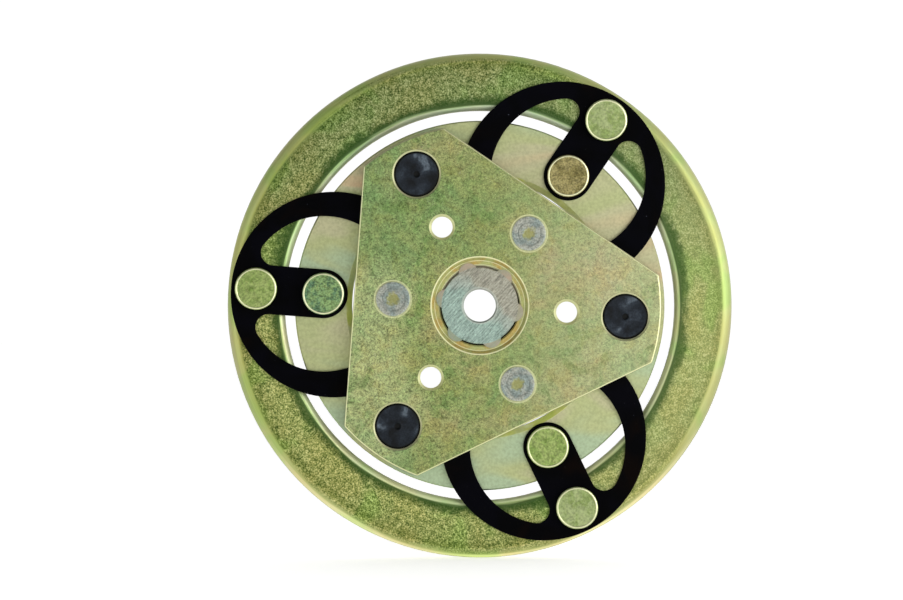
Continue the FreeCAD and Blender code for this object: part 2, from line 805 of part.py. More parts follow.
def make_rubber_stop(label, turn):
    """A rubber plug whose flange sits between the plate and the inner ring."""
    body = new_body(label)
    back = "(RingThickness + StopGap)"
    front = f"({PLATE_FRONT} - StopSink)"
    revolve(
        body,
        label + "_moulded",
        [
            ("StopCircle", back),
            ("StopCircle + StopFlange - StopFlangeEdge", back),
            ("StopCircle + StopFlange", f"{back} + StopFlangeEdge"),
            ("StopCircle + StopFlange", PLATE_BACK),
            ("StopCircle + StopRadius", PLATE_BACK),
            ("StopCircle + StopRadius", f"{front} - StopEdge"),
            ("StopCircle + StopRadius - StopEdge", front),
            ("StopCircle + StopDimple", front),
            ("StopCircle", f"{front} - StopDimpleDepth"),
        ],
        about="StopCircle",
    )
    return place(body, turn)


# ---------------------------------------------------------------- assembly and export


def make_parts():
    """Every sub-part of the assembly, each a body of its own."""
    made = [make_outer_ring(), make_inner_ring(), make_hub_plate(), make_hub()]
    for n in range(COPIES):
        turn = n * STEP_ANGLE
        made += [
            make_spring(f"spring_{n + 1}", turn),
            make_armature_rivet(f"outer_rivet_{n + 1}", "OuterRivetCircle", turn),
            make_armature_rivet(f"inner_rivet_{n + 1}", "InnerRivetCircle", turn),
            make_hub_rivet(f"hub_rivet_{n + 1}", turn),
            make_rubber_stop(f"rubber_stop_{n + 1}", turn + STEP_ANGLE / 2),
        ]
    return made


def check_document():
    """Stops if any object failed to compute."""
    doc.recompute()
    failed = [o.Label for o in doc.Objects if {"Invalid", "Error"} & set(o.State)]
    if failed:
        raise ValueError(f"these objects failed: {failed}")


def check_part(body):
    """Stops if a body isn't one valid solid."""
    shape = body.Shape
    if shape.isNull() or not shape.isValid() or len(shape.Solids) != 1:
        raise ValueError(f"{body.Label} isn't one valid solid")


def main():
    parts = make_parts()
    check_document()
    for body in parts:
        check_part(body)
    os.makedirs(PARTS_FOLDER, exist_ok=True)
    for body in parts:
        body.Shape.exportStep(os.path.join(PARTS_FOLDER, body.Label + ".step"))
        print(f"{body.Label}: {body.Shape.Volume:.1f} mm3")


main()
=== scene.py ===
# Looks of a compressor clutch's armature and hub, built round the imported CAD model.
#
# Everything is in metres in the CAD frame: the shaft's axis is Y, the front looks along -Y, and a "level" is
# the distance in front of the friction plane, so y = -level. A spring's own directions are U, away from the
# shaft, and V, across it.

import json
import math

import bmesh
import bpy
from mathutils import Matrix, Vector, noise


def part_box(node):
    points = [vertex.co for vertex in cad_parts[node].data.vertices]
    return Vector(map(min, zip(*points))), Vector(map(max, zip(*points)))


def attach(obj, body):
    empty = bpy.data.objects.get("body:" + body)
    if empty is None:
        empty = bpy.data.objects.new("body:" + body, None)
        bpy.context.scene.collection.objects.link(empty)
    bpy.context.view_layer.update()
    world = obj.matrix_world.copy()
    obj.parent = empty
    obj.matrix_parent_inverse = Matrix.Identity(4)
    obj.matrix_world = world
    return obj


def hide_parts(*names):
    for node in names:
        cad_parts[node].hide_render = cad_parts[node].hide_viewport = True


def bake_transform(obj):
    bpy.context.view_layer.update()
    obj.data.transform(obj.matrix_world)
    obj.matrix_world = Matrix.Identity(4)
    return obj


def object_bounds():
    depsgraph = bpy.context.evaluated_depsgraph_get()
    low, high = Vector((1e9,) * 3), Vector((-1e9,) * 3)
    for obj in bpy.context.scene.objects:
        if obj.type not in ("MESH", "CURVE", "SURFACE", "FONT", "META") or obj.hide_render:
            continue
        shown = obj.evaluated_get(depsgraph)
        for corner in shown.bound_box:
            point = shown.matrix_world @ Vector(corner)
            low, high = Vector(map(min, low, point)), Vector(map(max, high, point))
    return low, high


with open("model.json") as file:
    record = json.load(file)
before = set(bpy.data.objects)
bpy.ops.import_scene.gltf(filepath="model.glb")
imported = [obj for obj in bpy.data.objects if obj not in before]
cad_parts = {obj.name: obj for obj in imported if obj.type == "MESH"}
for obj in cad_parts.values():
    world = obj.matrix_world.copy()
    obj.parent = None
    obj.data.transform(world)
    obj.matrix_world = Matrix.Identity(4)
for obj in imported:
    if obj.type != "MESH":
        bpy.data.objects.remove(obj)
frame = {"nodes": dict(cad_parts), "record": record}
cad_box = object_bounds()

MM = 0.001
TURN = 2 * math.pi

# Bodies, and how many springs, stops and rivets of each kind there are
ARMATURE = "armature"
HUB = "hub_assembly"
COPIES = 3

# Viewpoint
CAMERA_PLACE = Vector((-6.7 * MM, -1.0, 1.32 * MM))
CAMERA_LENS = 167.0
CAMERA_SENSOR = 36.0

# Springs, which follow the CAD model's outline: the loop and its window are circles cut off straight at
# U = flat. The leaf rises between BEND_START and BEND_END, apart from the tongue, which stays flat beyond
# FLEX_START.
LEAF = 1.0 * MM
LEAF_EDGE = 0.13 * MM
LOOP = dict(centre=34.8 * MM, radius=24.4 * MM, flat=15.2 * MM, corner=5.0 * MM)
WINDOW = dict(centre=37.15 * MM, radius=18.45 * MM, flat=26.4 * MM, corner=3.0 * MM)
TONGUE_HALF = 5.8 * MM
TONGUE_FILLET = 3.1 * MM
BEND_START = 48.0 * MM
BEND_END = 26.0 * MM
BEND_CUTS = 40
BEND_MARGIN = 2 * MM
FLEX_START = 31.0 * MM
BAR_HOLE = 2.73 * MM

# Rivets and stops
SHANK = 3.0 * MM
HUB_SHANK = 2.7 * MM
RIVET_TAIL = 4.3 * MM
RIVET_TAIL_SLOPE = 1.3 / 1.8
RIVET_TAIL_DEPTH = 1.8 * MM
HUB_TAIL = 4.2 * MM
HUB_TAIL_DEPTH = 1.2 * MM
STOP_RADIUS = 5.4 * MM

# Hub plate's outline, and how wide and soft the painted highlights on its edges are drawn
PLATE_FLAT = 29.85 * MM
PLATE_RADIUS = 42.9 * MM
EDGE_WIDE = 0.34 * MM
EDGE_SOFT = 0.05 * MM

# Distance between lathe marks
TURNING_FEED = 0.26 * MM

# Outer ring: where its colour ramp lies, and its zones from the bore out, which are lip, a band of painted
# shade, grained flat and rounding. Each pair holds the radii between which a border fades. RADIAL_CLOUDS is
# how much faster the colour's clouds change along a radius, per metre, than round the ring, per radian.
RING_DIAMETER = 120 * MM
RAMP_START = 46 * MM
RAMP_SPAN = 14 * MM
RADIAL_CLOUDS = 420.0
LIP_END = (47.35 * MM, 47.75 * MM)
BAND_START = (47.4 * MM, 47.9 * MM)
BAND_END = (48.4 * MM, 50.4 * MM)
GRAIN_START = (47.6 * MM, 48.6 * MM)
GRAIN_END = (56.6 * MM, 57.9 * MM)
ROUNDING = (57.2 * MM, 58.0 * MM)

# Studio: each light is (name, place, size, watts). The room's strength is ROOM_LEVEL plus the direction
# looked in times ROOM_SLOPE. The dome reaches past the floor's corners.
LIGHTS = (
    ("key", (0.42, -0.52, 0.05), 0.45, 2.3),
    ("fill", (-0.70, -0.60, -0.05), 0.50, 1.4),
    ("side", (0.60, -0.10, 0.10), 0.35, 0.35),
)
ROOM_LEVEL = 0.88
ROOM_SLOPE = (0.30, 0.42, -0.60)
FLOOR_HALF = 5.0
FLOOR_GLOW = 0.56
DOME_RADIUS = 7.2
DOME_STEPS = 32
WHITE = (1.0, 1.0, 1.0, 1.0)


# ---------------------------------------------------------------- small geometry


def size_of(node):
    """A turned CAD node's axis (x, z), largest radius, and back and front levels."""
    low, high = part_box(node)
    axis = ((low.x + high.x) / 2, (low.z + high.z) / 2)
    return axis, (high.x - low.x) / 2, -high.y, -low.y


def arc(centre, radius, start, end, steps):
    """Points along an arc, both ends included."""
    turns = (start + (end - start) * n / steps for n in range(steps + 1))
    return [(centre[0] + radius * math.cos(t), centre[1] + radius * math.sin(t)) for t in turns]


def rounded(corners, steps=6):
    """A (radius, level) profile from corners that each give (radius, level, rounding)."""
    profile = []
    for n, (x, y, size) in enumerate(corners):
        here = Vector((x, y))
        if size == 0:
            profile.append((x, y))
            continue
        before = (Vector(corners[n - 1][:2]) - here).normalized()
        after = (Vector(corners[n + 1][:2]) - here).normalized()
        half = before.angle(after) / 2
        centre = here + (before + after).normalized() * size / math.sin(half)
        first = here + before * size / math.tan(half) - centre
        last = here + after * size / math.tan(half) - centre
        sweep = first.angle_signed(last)
        start = math.atan2(first.y, first.x)
        profile += arc(centre, size, start, start - sweep, steps)
    return profile


def make_object(name, mesh, material):
    """Links a new object that shows the mesh in a material."""
    made = bpy.data.objects.new(name, mesh)
    bpy.context.scene.collection.objects.link(made)
    mesh.materials.clear()
    mesh.materials.append(material)
    return made


def smooth_shading(mesh, angle=32.0):
    """Shades the mesh smoothly, apart from edges sharper than an angle in degrees."""
    for polygon in mesh.polygons:
        polygon.use_smooth = True
    mesh.set_sharp_from_angle(angle=math.radians(angle))


def keep_flats_flat(made):
    """Lets large faces set the shading at rounded edges."""
    weighted = made.modifiers.new("flats", "WEIGHTED_NORMAL")
    weighted.keep_sharp = True


def turned(name, profile, axis, steps=128, wobble=0.0):
    """A mesh turned about a line along Y at axis (x, z), from a profile that starts and ends on that line.

    The wobble is the share by which a struck edge strays from a circle. Each point carries its distance
    from the line in the attribute from_axis.
    """
    mesh = bpy.data.meshes.new(name)
    shape = bmesh.new()
    distance = shape.verts.layers.float.new("from_axis")

    def point(radius, level, turn):
        stray = 1 + wobble * noise.noise(Vector((axis[0] * 900, 2 * math.cos(turn), 2 * math.sin(turn))))
        across = radius * stray
        vert = shape.verts.new(
            (axis[0] + across * math.cos(turn), -level, axis[1] + across * math.sin(turn))
        )
        vert[distance] = radius
        return vert

    rows = []
    for radius, level in profile:
        count = 1 if radius == 0 else steps
        rows.append([point(radius, level, TURN * n / steps) for n in range(count)])
    for low, high in zip(rows, rows[1:]):
        for n in range(steps):
            after = (n + 1) % steps
            ends = [low[n % len(low)], low[after % len(low)], high[after % len(high)], high[n % len(high)]]
            shape.faces.new(list(dict.fromkeys(ends)))
    bmesh.ops.recalc_face_normals(shape, faces=shape.faces)
    shape.to_mesh(mesh)
    shape.free()
    smooth_shading(mesh)
    return mesh


# ---------------------------------------------------------------- node trees


def srgb(red, green, blue):
    """A linear colour from 8-bit screen values."""

    def linear(value):
        value /= 255
        return value / 12.92 if value <= 0.04045 else ((value + 0.055) / 1.055) ** 2.4

    return (linear(red), linear(green), linear(blue), 1.0)


class Surface:
    """One material's node tree, with short names for the nodes that it is made of."""

    def __init__(self, name):
        self.material = bpy.data.materials.new(name)
        self.material.use_nodes = True
        self.tree = self.material.node_tree
        self.shader = self.tree.nodes["Principled BSDF"]
        coordinates = self.add("ShaderNodeTexCoord")
        self.place = coordinates.outputs["Object"]
        self.x, self.y, self.z = self.split(self.place)
        self.normal = self.split(coordinates.outputs["Normal"])

    def add(self, kind, **settings):
        node = self.tree.nodes.new(kind)
        for name, value in settings.items():
            setattr(node, name, value)
        return node

    def feed(self, socket, value):
        if isinstance(value, bpy.types.NodeSocket):
            self.tree.links.new(value, socket)
        else:
            socket.default_value = value

    def split(self, vector):
        node = self.add("ShaderNodeSeparateXYZ")
        self.feed(node.inputs[0], vector)
        return tuple(node.outputs)

    def join(self, x, y, z):
        node = self.add("ShaderNodeCombineXYZ")
        for socket, value in zip(node.inputs, (x, y, z)):
            self.feed(socket, value)
        return node.outputs[0]

    def maths(self, operation, *values):
        node = self.add("ShaderNodeMath", operation=operation)
        for socket, value in zip(node.inputs, values):
            self.feed(socket, value)
        return node.outputs[0]

    def times(self, first, second):
        return self.maths("MULTIPLY", first, second)

    def plus(self, first, second):
        return self.maths("ADD", first, second)

    def most(self, first, second):
        return self.maths("MAXIMUM", first, second)

    def noise(self, size, detail=2.0, rough=0.5, bend=0.0, where=None):
        """Cloudy noise, from 0 to 1 about 0.5, with clouds of about that size in the units of its place."""
        node = self.add("ShaderNodeTexNoise")
        self.feed(node.inputs["Vector"], where or self.place)
        node.inputs["Scale"].default_value = 1 / size
        node.inputs["Detail"].default_value = detail
        node.inputs["Roughness"].default_value = rough
        node.inputs["Distortion"].default_value = bend
        return node.outputs["Fac"]

    def ramp(self, factor, stops, smooth=False):
        """Colours or greys by factor, from (place, colour or grey) stops."""
        node = self.add("ShaderNodeValToRGB")
        self.feed(node.inputs[0], factor)
        band = node.color_ramp
        band.interpolation = "EASE" if smooth else "LINEAR"
        while len(band.elements) < len(stops):
            band.elements.new(0.5)
        for element, (where, colour) in zip(band.elements, stops):
            element.position = where
            element.color = colour if isinstance(colour, tuple) else (colour,) * 3 + (1.0,)
        return node.outputs["Color"]

    def step(self, value, start, end):
        """0 before start, 1 after end, and smooth between them; start may be the larger."""
        node = self.add("ShaderNodeMapRange", interpolation_type="SMOOTHSTEP")
        self.feed(node.inputs["Value"], value)
        node.inputs["From Min"].default_value = start
        node.inputs["From Max"].default_value = end
        return node.outputs["Result"]

    def band(self, value, low, high, soft):
        """1 between low and high, 0 further than soft outside them."""
        return self.times(self.step(value, low - soft, low), self.step(value, high + soft, high))

    def mix(self, factor, first, second, blend="MIX"):
        node = self.add("ShaderNodeMix", data_type="RGBA", blend_type=blend)
        self.feed(node.inputs["Factor"], factor)
        self.feed(node.inputs[6], first)
        self.feed(node.inputs[7], second)
        return node.outputs[2]

    def tint(self, colour, factors):
        """The colour multiplied by another."""
        return self.mix(1.0, colour, factors, "MULTIPLY")

    def blend(self, factor, first, second):
        """Mixes two numbers."""
        node = self.add("ShaderNodeMix", data_type="FLOAT")
        self.feed(node.inputs["Factor"], factor)
        self.feed(node.inputs[2], first)
        self.feed(node.inputs[3], second)
        return node.outputs[0]

    def bump(self, height, distance):
        """A normal from a height of 0 to 1, where 1 stands that many metres proud."""
        node = self.add("ShaderNodeBump")
        self.feed(node.inputs["Height"], height)
        node.inputs["Distance"].default_value = distance
        return node.outputs[0]

    def attribute(self, name):
        return self.add("ShaderNodeAttribute", attribute_name=name).outputs["Fac"]

    def from_shaft(self):
        """Distance from the shaft's axis, and the direction round it."""
        across = self.maths("POWER", self.plus(self.square(self.x), self.square(self.z)), 0.5)
        return across, self.maths("ARCTAN2", self.z, self.x)

    def behind(self):
        """1 on faces that look at the rotor."""
        return self.step(self.normal[1], 0.6, 0.95)

    def square(self, value):
        return self.times(value, value)

    def threefold(self, phase):
        """U and V from the shaft along the nearest of three directions, the first at a phase in radians."""
        across, direction = self.from_shaft()
        turn = self.maths("WRAP", self.maths("SUBTRACT", direction, phase), TURN / 6, -TURN / 6)
        along = self.times(across, self.maths("COSINE", turn))
        beside = self.times(across, self.maths("SINE", turn))
        return along, beside

    def distance(self, u, v, centre):
        """Distance from a line along Y at U = centre, V = 0."""
        beside = self.maths("SUBTRACT", u, centre)
        return self.maths("POWER", self.plus(self.square(beside), self.square(v)), 0.5)

    def grain(self, fine, coarse):
        """The sparkle of bright plating over coarser mottling, about 0.5."""
        return self.blend(0.25, self.noise(fine, 2, 0.55), self.noise(coarse, 2, 0.5))

    def shade(self, colour, grain, dark, light, spread=0.13):
        """The colour multiplied by a share that goes with the grain, from dark to light."""
        stops = [(0.5 - spread, dark), (0.5, 1.0), (0.5 + spread, light)]
        return self.tint(colour, self.ramp(grain, stops))

    def finish(self, colour, roughness, normal=None, **others):
        """Feeds the shader, whose further sockets are given by name, and gives the material."""
        self.feed(self.shader.inputs["Base Color"], colour)
        self.feed(self.shader.inputs["Roughness"], roughness)
        if normal:
            self.feed(self.shader.inputs["Normal"], normal)
        for name, value in others.items():
            self.feed(self.shader.inputs[name.replace("_", " ")], value)
        return self.material


# ---------------------------------------------------------------- plated surfaces


def turned_lines(surface, across, size):
    """Noise that changes only with one distance, as the lines that a lathe leaves do."""
    wave = surface.join(across, 0.0, 0.0)
    return surface.noise(size, 3, 0.7, where=wave)


def sheared_lines(surface, across_size, along_size):
    """Noise drawn out along Y, as a blanked edge has it."""
    where = surface.join(
        surface.maths("DIVIDE", surface.x, across_size),
        surface.maths("DIVIDE", surface.y, along_size),
        surface.maths("DIVIDE", surface.z, across_size),
    )
    return surface.noise(1.0, 3, 0.6, where=where)


def faced_metal(surface, across, dark, middle, light):
    """Colour and height of a friction face: fine rings left by the lathe, with a little bedding-in polish."""
    lines = turned_lines(surface, across, TURNING_FEED)
    colour = surface.ramp(lines, [(0.32, dark), (0.5, middle), (0.68, light)])
    worn = surface.step(surface.noise(16 * MM, 3, 0.55, 0.6), 0.46, 0.66)
    return surface.mix(surface.times(worn, 0.35), colour, light), lines


def turned_side(surface, dark, light):
    """Where a part is turned parallel to the shaft, the colour there, and the turning marks' height."""
    side = surface.step(surface.maths("ABSOLUTE", surface.normal[1]), 0.42, 0.18)
    marks = surface.noise(0.24 * MM, 3, 0.7, where=surface.join(0.0, surface.y, 0.0))
    dulled = surface.blend(0.4, marks, surface.noise(5 * MM, 3, 0.6, 0.5))
    return side, surface.ramp(dulled, [(0.36, dark), (0.62, light)]), marks


def outer_ring_material():
    """Yellow chromate over a grained ring: olive and straw sparkle, a band of painted shade by the rolled
    lip, smooth rims; painted shade and highlights on the rounding and painted light on the right side.
    """
    s = Surface("yellow_chromate_grained")
    across, direction = s.from_shaft()
    right = s.step(s.x, 8 * MM, 46 * MM)
    top = s.step(s.z, 40 * MM, 58 * MM)
    bottom = s.step(s.z, -22 * MM, -52 * MM)

    # colour by zone, with borders that stray a little round the ring; the lip's pale stop is a painted
    # highlight and the dark stop just outside it is painted shade
    sweep = s.join(s.times(across, RADIAL_CLOUDS), s.maths("SINE", direction), s.maths("COSINE", direction))
    hue = s.plus(s.noise(0.5, 2, 0.5, where=sweep), -0.5)
    place = s.maths("MULTIPLY_ADD", hue, 2.6 * MM, across)
    colour = s.ramp(
        s.maths("MULTIPLY_ADD", place, 1 / RAMP_SPAN, -RAMP_START / RAMP_SPAN),
        [
            (0.02, srgb(188, 192, 160)),
            (0.085, srgb(230, 238, 192)),
            (0.105, srgb(186, 206, 140)),
            (0.125, srgb(96, 112, 56)),
            (0.30, srgb(154, 164, 96)),
            (0.68, srgb(150, 158, 92)),
            (0.80, srgb(144, 148, 80)),
            (0.85, srgb(176, 184, 102)),
            (0.90, srgb(192, 202, 128)),
            (0.95, srgb(182, 190, 118)),
            (0.99, srgb(182, 186, 132)),
        ],
    )
    # painted light: the right side is paler
    colour = s.mix(s.times(right, 0.28), colour, srgb(168, 178, 130))
    # painted shade: the rounding turns darker and bluer towards the top
    height = s.maths("MULTIPLY_ADD", s.z, 1 / RING_DIAMETER, 0.5)
    painted_top_shade = s.ramp(
        height,
        [(0.08, (0.96, 0.98, 0.92, 1.0)), (0.5, (1.02, 1.0, 0.92, 1.0)), (0.85, (0.68, 0.74, 0.78, 1.0))],
    )
    colour = s.mix(s.step(place, ROUNDING[1], ROUNDING[0]), colour, s.tint(colour, painted_top_shade))

    # painted shade on the border of the rounding, reaching further out at the top and bottom, and on the
    # rounding's lower half, and a painted highlight on its lower edge
    reach = s.plus(place, s.plus(s.times(top, -1.3 * MM), s.times(bottom, -1.2 * MM)))
    rim = s.times(s.step(place, 55.2 * MM, 57.0 * MM), s.step(reach, GRAIN_END[1], ROUNDING[0]))
    colour = s.mix(s.times(rim, s.blend(right, 0.34, 0.2)), colour, srgb(100, 122, 60))
    shaded = s.times(s.step(place, *ROUNDING), s.step(s.z, 14 * MM, -20 * MM))
    colour = s.mix(s.times(shaded, s.blend(right, 0.26, 0.30)), colour, srgb(140, 126, 80))
    lit = s.times(bottom, s.step(place, 58.7 * MM, 59.6 * MM))
    colour = s.mix(s.times(lit, 0.7), colour, srgb(252, 244, 184))
    tint = s.ramp(
        s.noise(12 * MM, 2, 0.5, 0.6),
        [(0.36, (0.80, 1.0, 0.76, 1.0)), (0.50, WHITE), (0.64, (1.03, 0.95, 0.90, 1.0))],
        smooth=True,
    )
    colour = s.mix(0.8, colour, tint, "MULTIPLY")

    grain = s.grain(0.34 * MM, 1.2 * MM)
    sparkle = s.ramp(
        grain,
        [
            (0.36, (0.22, 0.30, 0.24, 1.0)),
            (0.44, (0.64, 0.72, 0.62, 1.0)),
            (0.50, WHITE),
            (0.57, (1.50, 1.38, 1.65, 1.0)),
            (0.64, (2.30, 2.05, 3.00, 1.0)),
        ],
    )
    grained = s.times(s.step(across, *GRAIN_START), s.step(reach, GRAIN_END[1], GRAIN_END[0]))
    # painted light: the grain is weaker on the right side
    share = s.times(grained, s.blend(right, 1.0, 0.5))
    colour = s.mix(share, colour, s.tint(colour, sparkle))

    # a band of painted shade by the lip, with a ragged outer border
    stray = s.times(s.maths("SUBTRACT", s.noise(1.4 * MM, 3, 0.65), 0.5), 5.0 * MM)
    drift = s.times(s.maths("SUBTRACT", s.noise(12 * MM, 1), 0.5), 5.0 * MM)
    wandering = s.plus(across, s.plus(stray, drift))
    painted_lip_shade = s.times(s.step(wandering, BAND_END[1], BAND_END[0]), s.step(across, *BAND_START))
    colour = s.mix(s.times(painted_lip_shade, 0.74), colour, srgb(52, 82, 34))

    back = s.behind()
    faced, lines = faced_metal(s, across, srgb(120, 124, 92), srgb(160, 162, 118), srgb(194, 194, 154))
    colour = s.mix(back, colour, faced)
    side, cut, turns = turned_side(s, srgb(98, 108, 56), srgb(176, 182, 118))
    colour = s.mix(s.times(side, 0.85), colour, cut)
    grained = s.most(grained, s.most(back, side))
    roughness = s.blend(grained, 0.42, s.blend(grain, 0.62, 0.38))
    relief = s.blend(grained, 0.5, s.blend(side, s.blend(back, grain, lines), turns))
    lip = s.step(across, LIP_END[1], LIP_END[0])
    metallic = s.blend(lip, s.blend(grained, 0.6, 0.9), 0.25)
    return s.finish(colour, roughness, s.bump(relief, 0.04 * MM), Metallic=metallic)


def inner_ring_material():
    """Thin clear chromate: pastel straw with soft green and rose drifts, an olive bevel at the bore
    brightened with painted light.
    """
    s = Surface("pale_chromate")
    across, _ = s.from_shaft()
    layers = s.join(s.times(s.x, 0.35), s.y, s.z)
    colour = s.ramp(
        s.noise(15 * MM, 2, 0.45, 0.8, where=layers),
        [
            (0.34, srgb(176, 194, 158)),
            (0.46, srgb(184, 190, 138)),
            (0.56, srgb(192, 190, 150)),
            (0.68, srgb(208, 184, 146)),
        ],
        smooth=True,
    )
    grain = s.grain(0.6 * MM, 2.4 * MM)
    colour = s.shade(colour, grain, 0.90, 1.08)
    # the olive bevel at the bore: its own colour, brightened as painted light
    ragged = s.plus(across, s.times(s.noise(6 * MM), 0.5 * MM))
    bevel = s.step(ragged, 32.05 * MM, 31.8 * MM)
    bevel = s.times(bevel, s.step(s.normal[1], -0.2, -0.5))
    faded = s.times(bevel, s.blend(s.step(s.noise(9 * MM, 2), 0.42, 0.60), 0.35, 0.85))
    olive = s.ramp(
        s.noise(4 * MM, 2),
        [(0.38, srgb(196, 210, 96)), (0.52, srgb(214, 218, 118)), (0.64, srgb(222, 228, 172))],
    )
    colour = s.mix(faded, colour, olive)
    back = s.behind()
    faced, lines = faced_metal(s, across, srgb(126, 130, 106), srgb(166, 168, 132), srgb(198, 198, 164))
    colour = s.mix(back, colour, faced)
    side, cut, turns = turned_side(s, srgb(132, 138, 100), srgb(198, 200, 160))
    colour = s.mix(s.times(side, 0.85), colour, cut)
    height = s.blend(side, s.blend(back, grain, lines), turns)
    roughness = s.blend(grain, 0.48, 0.34)
    return s.finish(colour, roughness, s.bump(height, 0.02 * MM), Metallic=s.blend(bevel, 0.9, 0.1))


def hub_plate_material():
    """Chromate over a rolled plate: soft green and olive clouds, fine pits, a golden recess, painted
    highlights on its edges, and painted light that makes its right and left sides paler.
    """
    s = Surface("yellow_chromate_rolled")
    across, _ = s.from_shaft()
    colour = s.ramp(
        s.noise(19 * MM, 3, 0.5, 0.6),
        [
            (0.34, srgb(130, 152, 96)),
            (0.46, srgb(144, 156, 97)),
            (0.56, srgb(154, 158, 104)),
            (0.68, srgb(164, 154, 112)),
        ],
        smooth=True,
    )
    wander = s.times(s.noise(12 * MM, 2), 20 * MM)
    wandering_x = s.plus(s.x, wander)
    wandering_z = s.plus(s.z, wander)
    green_side = s.times(s.step(wandering_x, 6 * MM, -16 * MM), s.step(wandering_z, 16 * MM, 36 * MM))
    colour = s.mix(s.times(green_side, 0.6), colour, srgb(118, 152, 98))
    # painted light: the right side, and the left side below its top, are paler
    pale_border = s.times(s.noise(10 * MM), 12 * MM)
    painted_light_right = s.step(s.plus(s.x, pale_border), 4 * MM, 40 * MM)
    colour = s.mix(s.times(painted_light_right, 0.55), colour, srgb(186, 190, 148))
    painted_light_left = s.times(s.step(wandering_x, -2 * MM, -14 * MM), s.step(wandering_z, 24 * MM, 14 * MM))
    colour = s.mix(s.times(painted_light_left, 0.5), colour, srgb(186, 192, 140))
    tinge = s.ramp(
        s.noise(4.5 * MM, 3, 0.6, 0.5),
        [(0.34, (0.86, 0.98, 0.94, 1.0)), (0.5, WHITE), (0.66, (1.05, 0.96, 0.86, 1.0))],
        smooth=True,
    )
    colour = s.mix(0.8, colour, tinge, "MULTIPLY")
    tan = s.step(s.noise(11 * MM, 3, 0.55, 0.8, where=s.join(s.x, s.z, s.y)), 0.54, 0.70)
    right = s.step(s.x, -14 * MM, 18 * MM)
    colour = s.mix(s.times(tan, s.blend(right, 0.10, 0.34)), colour, srgb(182, 160, 114))
    green = s.step(s.noise(6.5 * MM, 3, 0.6, 0.8, where=s.join(s.z, s.x, s.y)), 0.53, 0.68)
    colour = s.mix(s.times(green, s.blend(right, 0.55, 0.35)), colour, srgb(100, 136, 72))
    grain = s.blend(0.22, s.noise(0.44 * MM, 3, 0.62, 0.9), s.noise(1.3 * MM, 2, 0.5, 0.8))
    # painted light: the grain is weaker toward the right
    colour = s.mix(s.blend(right, 1.0, 0.60), colour, s.shade(colour, grain, 0.44, 1.54))
    scuffs = s.step(s.noise(0.8 * MM, 3, 0.65, 1.5), 0.62, 0.72)
    colour = s.mix(s.times(scuffs, 0.4), colour, srgb(208, 214, 172))

    gold = s.ramp(s.noise(3.0 * MM, 2, 0.5, 0.5), [(0.36, srgb(180, 156, 84)), (0.60, srgb(170, 174, 108))])
    recess = s.step(across, 11.75 * MM, 11.65 * MM)
    colour = s.mix(recess, colour, s.shade(gold, grain, 0.8, 1.15))

    # painted highlights on the edges: the recess, the inner hole's edge above only, the puller and stop
    # holes, the rivets' seats and the outline
    upper = s.step(s.z, -4 * MM, 4 * MM)
    edges = s.band(across, 11.40 * MM, 11.66 * MM, EDGE_SOFT)
    edges = s.most(edges, s.times(s.band(across, 10.58 * MM, 10.74 * MM, EDGE_SOFT), 0.7))
    edges = s.most(edges, s.times(s.band(across, 9.4 * MM, 9.75 * MM, EDGE_SOFT), upper))
    puller = next(m for m in frame["record"]["mounts"] if m["name"] == "puller_holes")
    stop_axis = size_of("rubber_stop_1")[0]
    u, v = s.threefold(math.atan2(stop_axis[1], stop_axis[0]))
    for centre, low, high in (
        (puller["dims"]["pcd_mm"] / 2 * MM, 2.5 * MM, 3.05 * MM),
        (math.hypot(*stop_axis), STOP_RADIUS, STOP_RADIUS + EDGE_WIDE),
    ):
        edges = s.most(edges, s.band(s.distance(u, v, centre), low, high, EDGE_SOFT))
    rivet_axis = size_of("hub_rivet_1")[0]
    flat, beside = s.threefold(math.atan2(rivet_axis[1], rivet_axis[0]))
    from_rivet = s.distance(flat, beside, math.hypot(*rivet_axis))
    rivet_rim = s.band(from_rivet, HUB_TAIL, HUB_TAIL + 0.30 * MM, 0.06 * MM)
    edges = s.most(edges, s.times(rivet_rim, 0.6))
    edges = s.most(edges, s.step(flat, PLATE_FLAT - EDGE_WIDE, PLATE_FLAT - 0.26 * MM))
    edges = s.most(edges, s.step(across, PLATE_RADIUS - EDGE_WIDE, PLATE_RADIUS - 0.26 * MM))
    colour = s.mix(s.times(edges, 0.85), colour, srgb(242, 242, 192))

    side = s.step(s.maths("ABSOLUTE", s.normal[1]), 0.5, 0.25)
    shear = sheared_lines(s, 0.35 * MM, 3 * MM)
    cut = s.ramp(shear, [(0.35, srgb(150, 158, 120)), (0.62, srgb(206, 210, 170))])
    colour = s.mix(s.times(side, 0.75), colour, cut)
    roughness = s.blend(edges, s.blend(grain, 0.56, 0.38), 0.40)
    relief = s.bump(s.blend(side, grain, shear), 0.025 * MM)
    return s.finish(colour, roughness, relief, Metallic=s.blend(recess, 0.9, 0.3))


